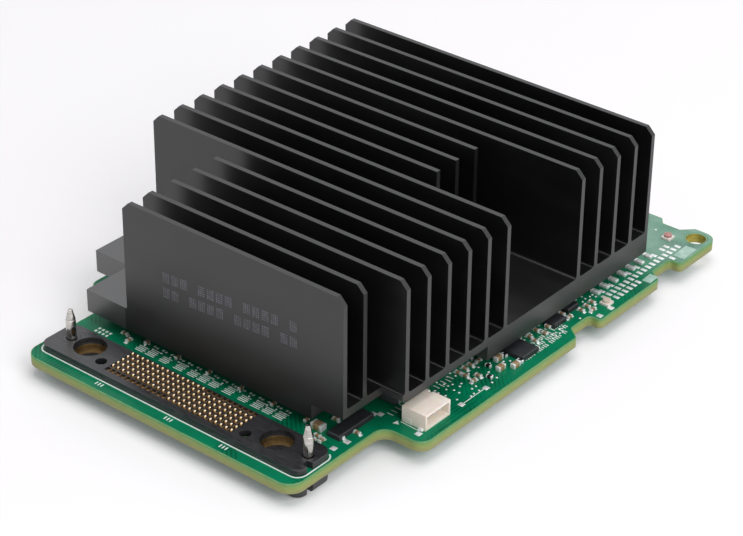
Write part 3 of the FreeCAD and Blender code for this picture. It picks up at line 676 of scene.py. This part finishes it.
# the rest of the CAD nodes, each in its own finish: its name, its look, and its even values
finishLooks = {
    # gold plated barrel of a drilled hole: warm, ringed by the drill
    "gold_plate": ("copperBarrelGoldPlated", {
        "patch": 0.5, "grain": (1, 1, 0.25), "colours": [(0.3, "#86693f"), (0.7, "#b79a68")], "relief": 0.25,
        "gloss": (0.3, 0.5), "depth": 0.02}, {"Metallic": 1.0}),
    # zinc plated steel, cold headed: cool grey with soft cloudy gloss
    "zinc_plated_steel": ("steelColdHeadedZincPlated", {
        "patch": 1.1, "colours": [(0.3, "#9a9ea3"), (0.7, "#c4c8cc")], "relief": 0.3,
        "gloss": (0.28, 0.45), "depth": 0.01}, {"Metallic": 1.0}),
    # nickel plated steel, turned: bright, with rings round the pin
    "nickel_plated_steel": ("steelTurnedNickelPlated", {
        "patch": 0.6, "grain": (4, 4, 0.5), "colours": [(0.3, "#a09c96"), (0.7, "#d2cfca")], "relief": 0.2,
        "gloss": (0.1, 0.2), "depth": 0.003}, {"Metallic": 1.0}),
    # nickel plated copper lid, stamped: matt silver
    "nickel_plated_copper": ("copperStampedNickelPlated", {
        "patch": 2.0, "colours": [(0.3, "#a9a69f"), (0.7, "#c6c3bc")], "relief": 0.25,
        "gloss": (0.35, 0.5), "depth": 0.008}, {"Metallic": 1.0}),
    # build-up laminate of the package: dull green-brown
    "package_laminate": ("epoxyBuildUpLaminate", {
        "patch": 1.5, "colours": [(0.3, "#2f4a2c"), (0.7, "#46613a")], "relief": 0.2,
        "gloss": (0.5, 0.65), "depth": 0.01}, {}),
    # silicone gap filler, calendered: pale, soft, dull
    "thermal_pad": ("siliconeGapFillerCalendered", {
        "patch": 1.2, "colours": [(0.3, "#8f97a3"), (0.7, "#aab1bb")], "relief": 0.35,
        "gloss": (0.7, 0.85), "depth": 0.03}, {"Subsurface_Weight": 0.05}),
    # silica filled epoxy, transfer moulded in a blasted tool: near black and fine grained
    "moulded_epoxy": ("epoxyTransferMoulded", {
        "patch": 0.8, "colours": [(0.3, "#1b1c1f"), (0.7, "#292a2e")], "relief": 0.12,
        "gloss": (0.42, 0.6), "depth": 0.012}, {}),
    # iron powder pressed with resin: grey, sparkling grain
    "pressed_ferrite": ("ironPowderPressed", {
        "patch": 0.5, "colours": [(0.3, "#3a3b3d"), (0.7, "#55565a")], "relief": 0.14,
        "gloss": (0.4, 0.6), "depth": 0.03}, {}),
    # matt tin over copper, reflowed: pale and less mirror-like, its colour lifted to near white as a painted
    # highlight
    "tinned_copper": ("copperMattTinReflowed", {
        "patch": 0.4, "colours": [(0.3, "#dfe3e2"), (0.7, "#fbfcfc")], "relief": 0.3,
        "gloss": (0.36, 0.52), "depth": 0.02}, {"Metallic": 0.4}),
    # fired multilayer ceramic: tan, waxy
    "capacitor_ceramic": ("bariumTitanateCeramicFired", {
        "patch": 0.5, "colours": [(0.3, "#8a6c4c"), (0.7, "#b39672")], "relief": 0.2,
        "gloss": (0.32, 0.45), "depth": 0.012}, {}),
    # lead-free glass glaze, screen printed and fired: black and glossy
    "resistor_glaze": ("glassGlazeFired", {
        "patch": 0.5, "colours": [(0.3, "#141416"), (0.7, "#232327")], "relief": 0.2,
        "gloss": (0.2, 0.32), "depth": 0.008}, {}),
    # glass filled polymer of the lamp base, moulded: off-white, matt
    "white_polymer": ("polyphthalamideMoulded", {
        "patch": 0.6, "colours": [(0.3, "#ded9cf"), (0.7, "#f0ece4")], "relief": 0.2,
        "gloss": (0.4, 0.55), "depth": 0.01}, {}),
    # cast clear silicone with pale phosphor: peach-white and glossy
    "clear_resin": ("siliconeLensCast", {
        "patch": 0.5, "colours": [(0.3, "#f2c9a6"), (0.7, "#ffe9d2")], "relief": 0.3,
        "gloss": (0.1, 0.2), "depth": 0.004}, {"Subsurface_Weight": 0.3}),
    # thin gold wash in the tab's hole, the laminate's yellow showing through
    "pale_gold": ("copperBarrelGoldWashed", {
        "patch": 0.6, "grain": (1, 1, 0.3), "colours": [(0.3, "#9a8f3a"), (0.7, "#cdbf62")], "relief": 0.25,
        "gloss": (0.35, 0.5), "depth": 0.01}, {"Metallic": 0.6}),
    # the same lens over a red chip: dull rose when unlit
    "red_resin": ("siliconeLensCastRed", {
        "patch": 0.5, "colours": [(0.3, "#b4605c"), (0.7, "#d79a92")], "relief": 0.3,
        "gloss": (0.1, 0.2), "depth": 0.004}, {"Subsurface_Weight": 0.2}),
    # pressed and fired alumina: grey-white and matt
    "alumina": ("aluminaPressedFired", {
        "patch": 0.4, "colours": [(0.3, "#9ea3a1"), (0.7, "#dfe3e1")], "relief": 0.15,
        "gloss": (0.45, 0.6), "depth": 0.01}, {}),
    # natural nylon, moulded and spark-textured: warm ivory, light glows through thin walls
    "ivory_nylon": ("nylonNaturalMoulded", {
        "patch": 1.1, "colours": [(0.3, "#fbe8da"), (0.7, "#fff5ea")], "relief": 0.16,
        "gloss": (0.4, 0.52), "depth": 0.012}, {"Subsurface_Weight": 0.2, "Subsurface_Scale": 0.0006}),
}

softened = {"screw_hole_plating": 0.04, "tab_hole_plating": 0.04, "sink_spacers": 0.1, "sink_screws": 0.12,
            "guide_pins": 0.06, "controller_substrate": 0.05, "controller_lid": 0.15,
            "controller_thermal_pad": 0.08, "memory_chips": 0.06, "memory_thermal_pads": 0.08,
            "underside_memory_chips": 0.06, "power_inductors": 0.2, "inductor_terminals": 0.05,
            "regulator_chips": 0.06, "power_stage_chip": 0.06, "ceramic_capacitors": 0.05,
            "chip_resistors": 0.03, "component_end_caps": 0.05, "indicator_bases": 0.05,
            "indicator_lenses": 0.08, "header_pins": 0.04}


def camelName(node):
    first, *rest = node.split("_")
    return first + "".join(word.capitalize() for word in rest) + "Softened"


def buildRest(finishes):
    slots = {row["node"]: row["material_slot"] for row in frame["record"]["subparts"]}
    for node, edge in softened.items():
        piece = dressedCopy(node, camelName(node), finishes[slots[node]])
        softenEdges(piece, edge)
        settle(piece, slots[node], node)
        if node == "tab_hole_plating":
            coverFaces(piece, finishes["pale_gold"], lambda middle, normal: abs(normal.z) < 0.7)
            coverFaces(piece, maskFinish(), lambda middle, normal: abs(normal.z) > 0.7)
        if node == "indicator_lenses":
            coverFaces(piece, finishes["red_resin"], lambda middle, normal: middle.y > 30)
        if node == "chip_resistors":
            coverFaces(piece, finishes["alumina"], lambda middle, normal: middle.y > 15)
    # nodes that stay hidden behind their dressed piece still carry a worked finish
    for node, piece in nodes.items():
        piece.data.materials.clear()
        piece.data.materials.append(finishes.get(slots[node], finishes["moulded_epoxy"]))


# cable header: thin-walled nylon shell with its mouth to the card's right side, on two soldered feet
header = {"wall": 0.36, "pocket": 3.0, "edge": 0.06, "rib": (1.5, 0.14, 0.9), "keySlot": (0.5, 1.0, 0.5),
          "foot": (0.95, 0.62, 0.34), "footEdge": 0.08}


def buildHeader(finishes):
    low, high = (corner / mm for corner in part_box("header_housing"))
    shell = startBlock("cableHeaderShell", high - low, (low + high) / 2)
    pickFaces(shell, lambda at, normal: normal.x > 0.9)
    bpy.ops.mesh.inset(thickness=header["wall"] * mm)
    bpy.ops.mesh.extrude_region_move(TRANSFORM_OT_translate={"value": (-header["pocket"] * mm, 0, 0)})
    bpy.ops.mesh.inset(thickness=0.05 * mm, depth=-0.1 * mm)
    leaveEdit()
    # proud ribs low on both sides, over the feet
    length, width, height = header["rib"]
    places = [(low.x + 0.25 + length / 2, y, low.z + height / 2) for y in (low.y, high.y)]
    ribs = copies(startBlock("cableHeaderRibs", header["rib"]), "cableHeaderRibs", places)
    slot = startBlock("keySlot", header["keySlot"], (low.x + 0.9, high.y, high.z))
    applyModifier(shell, "BOOLEAN", operation="DIFFERENCE", object=slot, solver="EXACT")
    bpy.data.objects.remove(slot)
    select(shell, ribs)
    bpy.ops.object.join()
    softenEdges(shell, header["edge"])
    settle(shell, "ivory_nylon", "header_housing", finish=finishes["ivory_nylon"])

    foot = startBlock("solderFoot", header["foot"])
    pickFaces(foot, lambda at, normal: normal.z > 0.9)
    bpy.ops.transform.resize(value=(0.8, 0.55, 1))
    leaveEdit()
    bevelEdges(foot, header["footEdge"])
    length, width, height = header["foot"]
    z = surfaceZ() + height / 2
    places = [(high.x - 0.75, y, z) for y in (low.y - width / 2 + 0.2, high.y + width / 2 - 0.2)]
    feet = copies(foot, "cableHeaderFeet", places)
    smoothShade(feet, 40)
    settle(feet, "tinned_copper", "header_solder_tabs", finish=finishes["tinned_copper"])


# collars round the guide pins, so that each pin stands out of the housing's face
collar = {"outer": 1.34, "inner": 0.84, "height": 0.22, "edge": 0.03}


def buildCollars():
    low, high = (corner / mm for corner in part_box("guide_pins"))
    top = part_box("connector_housing")[1].z / mm
    radius = (high.y - low.y) / 2
    deselectAll()
    bpy.ops.mesh.primitive_circle_add(vertices=32, radius=collar["outer"] * mm, fill_type="NGON")
    ring = bpy.context.object
    bpy.ops.object.mode_set(mode="EDIT")
    bpy.ops.mesh.select_all(action="SELECT")
    bpy.ops.mesh.inset(thickness=(collar["outer"] - collar["inner"]) * mm)
    bpy.ops.mesh.delete(type="FACE")
    leaveEdit()
    applyModifier(ring, "SOLIDIFY", thickness=collar["height"] * mm, offset=-1.0)
    softenEdges(ring, collar["edge"])
    places = [(x, (low.y + high.y) / 2, top - 0.01) for x in (low.x + radius, high.x - radius)]
    settle(copies(ring, "guidePinCollars", places), "connector_polymer", finish=polymerFinish())


finishes = {slot: workedFinish(name, look, **even) for slot, (name, look, even) in finishLooks.items()}
buildRest(finishes)
buildHeader(finishes)
buildCollars()
print("chips, passives, header, pins and screws are finished")


# printed marks: white epoxy ink, screen printed, so flat, matt and a little ragged
def inkFinish():
    return workedFinish("epoxyInkScreenPrintedWhite",
                        {"patch": 0.5, "colours": [(0.25, "#cfe0d6"), (0.6, "#eef4f0")], "relief": 0.12,
                         "gloss": (0.5, 0.7), "depth": 0.006})


silk = {"line": 0.24, "gap": 0.35, "corner": 1.7, "height": 0.02, "barEdge": 0.14, "frameGap": 0.6,
        "arrow": 0.62, "arrowEdge": 0.05,
        "labels": [(-12.6, -45.9), (1.0, -45.9), (11.5, -45.9)],
        "groups": 12, "groupLeft": -14.0, "groupPitch": 2.49,
        "columns": [(27.9, 6.0, 10.6), (28.8, 1.8, 10.6), (29.7, -0.9, 10.8), (30.6, -1.2, 9.6)],
        "columnPitch": 0.48,
        "blocks": [(31.6, 29.7, 1.5, 2.4), (31.3, 39.9, 1.9, 3.8)]}


def housingOutline(ink):
    # line round the connector, open at its rear, drawn as a rounded plane with its middle taken out
    low, high = (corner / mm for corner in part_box("connector_housing"))
    gap = silk["gap"]
    deselectAll()
    bpy.ops.mesh.primitive_plane_add(size=1)
    line = bpy.context.object
    line.name = "silkHousingOutline"
    line.scale = ((high.x - low.x + 2 * gap) * mm, (high.y - low.y + 2 * gap) * mm, 1)
    line.location = ((low.x + high.x) / 2 * mm, (low.y + high.y) / 2 * mm, surfaceZ() * mm)
    bpy.ops.object.transform_apply()
    bpy.ops.object.mode_set(mode="EDIT")
    bpy.ops.mesh.select_all(action="SELECT")
    bpy.ops.mesh.bevel(offset=silk["corner"] * mm, segments=6, affect="VERTICES")
    bpy.ops.mesh.inset(thickness=silk["line"] * mm)
    bpy.ops.mesh.delete(type="FACE")
    leaveEdit()
    pickFaces(line, lambda middle, normal: middle.y > high.y - 0.1
              or (middle.x < 0 and middle.y > low.y + 1.6))
    bpy.ops.mesh.delete(type="FACE")
    leaveEdit()
    applyModifier(line, "SOLIDIFY", thickness=silk["height"] * mm, offset=1.0)
    settle(line, "solder_mask_green", finish=ink)


def inkBar():
    # unit bar with clipped corners, stretched to every dash
    bar = startBlock("inkBar", (1, 1, silk["height"]))
    bevelEdges(bar, silk["barEdge"], 1)
    return bar


def buildSilk():
    ink = inkFinish()
    housingOutline(ink)
    z = surfaceZ() + silk["height"] / 2
    bars = [(-22.6 + 0.75 * (k % 4), -36.1 + 0.8 * (k // 4), z, 0, (0.4, 0.5, 1)) for k in range(8)]
    for x, y in silk["labels"]:                       # three plain marks in front of the housing
        bars += [(x + k * 0.55, y, z, 0, (0.22, 0.7, 1)) for k in range(3)]
    for k in range(silk["groups"]):                   # short lines in fours, behind the housing
        x = silk["groupLeft"] + silk["groupPitch"] * k + 0.4 * math.sin(5 * k)
        bars += [(x, -35.85 + row * 0.38, z, 0, (1.5 + 0.3 * ((k + row) % 2), 0.17, 1))
                 for row in range(4 + k % 2)]
    low, high = (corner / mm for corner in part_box("header_housing"))
    bars.append(((low.x + high.x) / 2 - 0.3, low.y - 0.35, z, -2, (high.x - low.x - 0.8, 0.14, 1)))
    bars += [(low.x - 2.2, low.y + 0.2 + 0.9 * k, z, 0, (1.1, 0.16, 1)) for k in range(5)]
    bars += [(low.x - 1.5 + 0.3 * (k % 2), high.y + 4.2 + 0.8 * k, z, 0, (1.1, 0.16, 1)) for k in range(5)]
    bars += [(low.x + 0.9, high.y + 9.0, z, -3, (2.3, 0.14, 1)), (30.65, high.y + 5.9, z, 90, (5.2, 0.14, 1))]
    pitch = silk["columnPitch"]
    for column, start, end in silk["columns"]:        # short bars, with a gap now and then
        bars += [(column, start + pitch * k, z, 0, (0.72 if k % 3 else 0.5, 0.2, 1))
                 for k in range(int((end - start) / pitch)) if k % 7 != 5]
    # one thin pass of the same ink, so the mask greys through
    thin = workedFinish("epoxyInkScreenPrintedThin", {
        "patch": 0.7, "colours": [(0.3, "#8fb9a8"), (0.7, "#c3d9cf")], "relief": 0.12,
        "gloss": (0.5, 0.7), "depth": 0.006})
    blocks = [(x, y, z, 3, (width, length, 1)) for x, y, width, length in silk["blocks"]]
    settle(copies(inkBar(), "silkBlocks", blocks), "solder_mask_green", finish=thin)
    settle(copies(inkBar(), "silkBars", bars), "solder_mask_green", finish=ink)

    # underside: frames round the memory chips, rows of short bars and a panel left bare for a label
    below = undersideZ() - silk["height"] / 2
    chipLow, chipHigh = (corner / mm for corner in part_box("underside_memory_chips"))
    across, along, *rest = [span + 2 * silk["frameGap"] for span in chipHigh - chipLow]
    chipX, chipY = (chipLow.x + chipHigh.x) / 2, (chipLow.y + chipHigh.y) / 2
    under = [(chipX, chipY + side * along / 2, below, 0, (across, 0.16, 1)) for side in (-1, 1)]
    under += [(chipX + side * across / 2, chipY, below, 0, (0.16, along, 1)) for side in (-1, 1)]
    under += [(-22 + 1.1 * k, 24.0 + 1.2 * (k % 3), below, 0, (0.7, 0.2, 1)) for k in range(24)]
    under += [(20.5, 2 + 0.9 * k, below, 0, (1.3 if k % 2 else 0.9, 0.22, 1)) for k in range(16)]
    under += [(-19 + 8 * k, 36.5, below, 0, (5.2, 0.2, 1)) for k in range(4)]
    settle(copies(inkBar(), "silkUnderside", under), "solder_mask_green", finish=ink)

    # arrow head in front of the cable header
    arrow = startDisc("silkArrow", 3, silk["arrow"], silk["height"])
    pickFaces(arrow, lambda middle, normal: normal.z > 0.9)
    bpy.ops.mesh.bevel(offset=silk["arrowEdge"] * mm, segments=2)
    leaveEdit()
    arrow = copies(arrow, "silkArrow", [(low.x - 0.2, low.y - 0.9, surfaceZ(), 20, (1, 1, 1))])
    settle(arrow, "solder_mask_green", finish=ink)


buildSilk()
print("printed marks are on")


# bare tinned lands, filled vias and the small parts between them
# a zone is left, front, right, rear in mm, and a zone of vias has its pitch and share too
small = {"partSize": (1.0, 0.52, 0.42), "bodyShare": 0.46, "endShare": 0.3, "endProud": 0.03,
         "partZones": [(-8.8, 9.0, -1.9, 17.6), (-8.0, 20.4, -3.4, 29.2), (-5.4, 31.6, -1.9, 38.0)],
         "partPitch": 1.4, "partShare": 0.72,
         "noseRight": [(20.3, -35.6), (21.4, -36.1), (22.9, -33.7), (19.6, -30.9), (20.5, -36.9),
                       (24.0, -31.5)],
         "noseLeft": [(-18.6, -34.0), (-16.9, -35.0)],
         "landHeight": 0.06, "landEdge": 0.05,
         "rearLands": {"first": 20.6, "last": 41.3, "pitch": 1.18, "columns": (28.1, 29.4, 30.75)},
         "loneLands": [(23.8, -36.3), (24.2, -33.9), (30.6, -16.4), (30.7, -10.8), (30.5, -26.0),
                       (22.6, -26.3), (23.4, -25.7), (31.9, 15.8), (31.9, 18.7), (30.6, 13.6), (30.6, 11.5)],
         "viaRadius": 0.24, "viaHeight": 0.09, "viaSink": 0.015,
         "viaRow": {"y": -33.55, "left": -14.6, "right": 16.0, "pitch": 1.72},
         "viaZones": [(-9.2, 2.5, -2.2, 40.0, 0.95, 0.5), (-64.0, 58.0, -8.0, 66.0, 2.2, 0.45)],
         "underZone": (-31.0, -25.0, 31.0, 45.0, 2.4, 0.36)}


def landPattern():
    # solder sits on a land as a low cushion
    land = startBlock("solderLand", (1, 1, small["landHeight"]))
    bevelEdges(land, small["landEdge"])
    return land


def cornerZone(left, front, right, rear):
    # a zone given from the board's right side and the header's rear
    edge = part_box("circuit_board")[1].x / mm
    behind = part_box("header_housing")[1].y / mm
    return edge + left, behind + front, edge + right, behind + rear


def rearLandPlaces(spots):
    # three columns of lands behind the header, with gaps between their groups
    rows = small["rearLands"]
    found = []
    for k in range(int((rows["last"] - rows["first"]) / rows["pitch"]) + 1):
        y = rows["first"] + k * rows["pitch"]
        for number, x in enumerate(rows["columns"]):
            skipped = ((number == 2 and k % 8 in (0, 7)) or (number == 0 and k % 3 == 2)
                       or (x > 30 and (28.0 < y < 31.5 or y > 38)))
            if not skipped and isFree(spots, x, y, 0.35):
                found.append((x, y))
    return found


def buildSmallParts(finishes):
    z = surfaceZ()
    tin = finishes["tinned_copper"]
    length, width, height = small["partSize"]
    spots = coveredSpots(1)
    lands = [(x, y, z, 0, (0.9, 0.9, 1)) for x, y in small["loneLands"] if onBoard(x, y, 0.5)]
    spots += [(x - 0.5, y - 0.5, x + 0.5, y + 0.5) for x, y, *rest in lands]
    lands += [(x, y, z, 0, (1.05, 0.62, 1)) for x, y in rearLandPlaces(spots)]
    spots += [(x - 0.5, y - 0.3, x + 0.5, y + 0.3) for x, y, *rest in lands]
    parts = small["noseRight"] + small["noseLeft"]
    for zone in small["partZones"]:
        parts = parts + scatter(spots, cornerZone(*zone), small["partPitch"], small["partShare"], 0.75)
    bodies = []
    ends = []
    for k, (x, y) in enumerate(parts):
        turn = 90 if k % 3 == 1 else 0
        bodies.append((x, y, z + height / 2, turn, (1, 1, 1)))
        across = Vector((math.cos(math.radians(turn)), math.sin(math.radians(turn))))
        for way in (-1, 1):
            at = Vector((x, y)) + across * way * 0.42
            ends.append((at.x, at.y, z + height / 2, turn, (1, 1, 1)))
            rim = Vector((x, y)) + across * way * 0.62
            lands.append((rim.x, rim.y, z, turn, (0.4, 0.6, 1)))
    pads = copies(landPattern(), "solderLands", lands)
    smoothShade(pads, 50)
    settle(pads, "tinned_copper", finish=tin)

    body = startBlock("smallBody", (length * small["bodyShare"], width, height))
    bevelEdges(body, 0.04, 1)
    settle(copies(body, "smallBodies", bodies), "capacitor_ceramic", finish=finishes["capacitor_ceramic"])
    proud = small["endProud"]
    end = startBlock("smallEnd", (length * small["endShare"], width + proud, height + proud))
    bevelEdges(end, 0.06)
    caps = copies(end, "smallEnds", ends)
    smoothShade(caps, 40)
    settle(caps, "tinned_copper", finish=tin)

    # vias: holes closed with solder, each a low dome, bright from the tin's painted highlight
    via = startDisc("via", 10, small["viaRadius"], small["viaHeight"], 0.5)
    via.data.transform(Matrix.Translation((0, 0, -small["viaSink"] * mm)))
    row = small["viaRow"]
    places = []
    # a row in pairs, along the foot of the heat sink
    for k in range(int((row["right"] - row["left"]) / row["pitch"])):
        x = row["left"] + k * row["pitch"]
        places += [(x, row["y"], z, 0, (1.15, 1.15, 1)), (x + 0.62, row["y"] - 0.1, z, 0, (1.15, 1.15, 1))]
        places += [(x + 0.3, row["y"] - 0.75, z, 0, (0.8, 0.8, 1))]
    for *zone, pitch, share in small["viaZones"]:
        found = scatter(spots, cornerZone(*zone), pitch, share, 0.3)
        places += [(x, y, z, 0, (0.9, 0.9, 1)) for x, y in found]
    *zone, pitch, share = small["underZone"]
    found = scatter(coveredSpots(-1), zone, pitch, share, 0.5)
    places += [(x, y, undersideZ(), 0, (0.8, 0.8, 1)) for x, y in found]
    settle(copies(via, "viaCaps", places), "tinned_copper", finish=tin)


buildSmallParts(finishes)
print("lands, vias and small parts are on")
